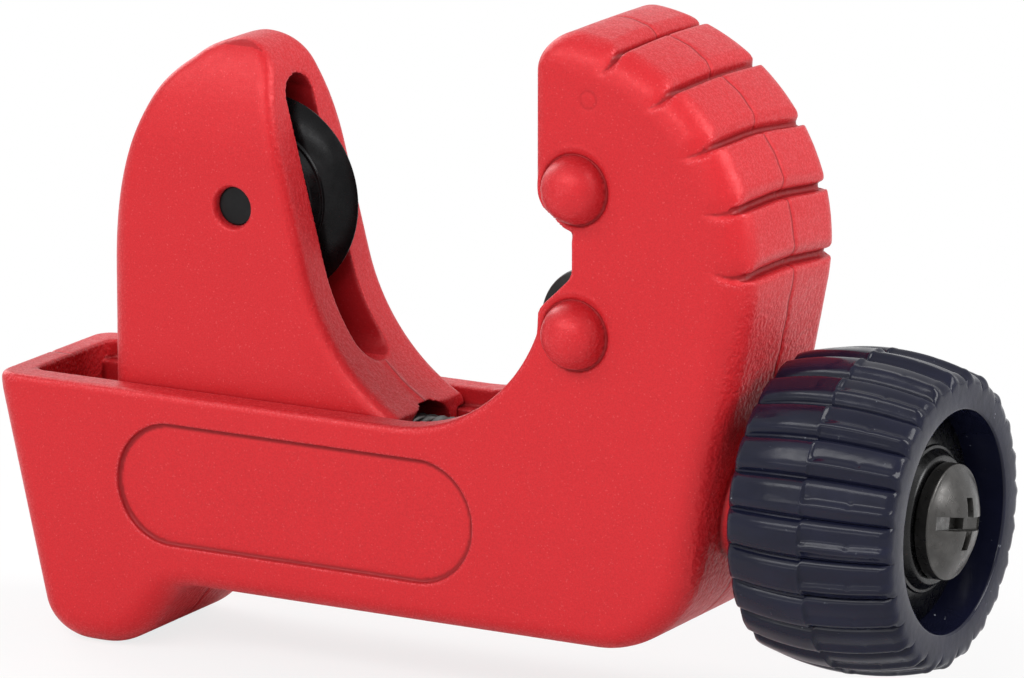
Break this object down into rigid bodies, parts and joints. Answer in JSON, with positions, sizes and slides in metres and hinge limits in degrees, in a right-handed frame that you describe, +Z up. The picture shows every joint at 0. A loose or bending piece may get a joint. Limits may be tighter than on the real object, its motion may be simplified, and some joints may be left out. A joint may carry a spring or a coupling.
{
  "type": "pipe cutter",
  "caption": "Compact pipe cutter: a cast C-shaped frame, a sliding carriage with a cutting wheel, rollers in the jaw and a ribbed screw knob that holds a spare wheel.",
  "frame": {"origin": "under the middle of the whole tool, on the plane of the heel's flat bottom", "axes": "+X along the spindle from the closed end to the knob, -Y towards the side with the oval panel and the roller bosses, +Z up from the heel to the jaw"},
  "size_m": [0.0903, 0.0274, 0.0589],
  "materials": {
    "red_coat": "fine metallic powder coat",
    "knob_plastic": "gloss",
    "blade_steel": "black oxide",
    "screw_steel": "black oxide",
    "roller_steel": "turned and browned",
    "spindle_steel": "rolled thread",
    "washer_steel": "plain"
  },
  "bodies": {
    "frame": {"body": "red_coat", "upper_roller_pin": "roller_steel", "lower_roller_pin": "roller_steel", "thrust_washer": "washer_steel"},
    "carriage": {"carriage": "red_coat", "wheel_axle": "screw_steel"},
    "cutter_wheel": {"cutter_wheel": "blade_steel"},
    "upper_roller": {"upper_roller": "roller_steel"},
    "lower_roller": {"lower_roller": "roller_steel"},
    "drive": {"spindle": "spindle_steel", "spindle_clip": "washer_steel", "knob": "knob_plastic", "knob_screw": "screw_steel", "spare_wheel": "blade_steel"}
  },
  "joints": [
    {"name": "knob_turn", "type": "hinge", "parent": "frame", "child": "drive", "pos_m": [0.0282, 0, 0.0194], "axis": [1, 0, 0], "range_deg": [-7855, 2525]},
    {"name": "carriage_slide", "type": "slide", "parent": "frame", "child": "carriage", "axis": [1, 0, 0], "range_m": [-0.007, 0.0218]},
    {"name": "wheel_spin", "type": "hinge", "parent": "carriage", "child": "cutter_wheel", "pos_m": [-0.0225, 0, 0.04], "axis": [0, 1, 0], "continuous": true},
    {"name": "upper_roller_spin", "type": "hinge", "parent": "frame", "child": "upper_roller", "pos_m": [0.01265, 0, 0.0462], "axis": [0, 1, 0], "continuous": true},
    {"name": "lower_roller_spin", "type": "hinge", "parent": "frame", "child": "lower_roller", "pos_m": [0.01265, 0, 0.0338], "axis": [0, 1, 0], "continuous": true}
  ],
  "couplings": [
    {"joint": "knob_turn", "follows": "carriage_slide", "rad_per_m": -6283.2}
  ]
}
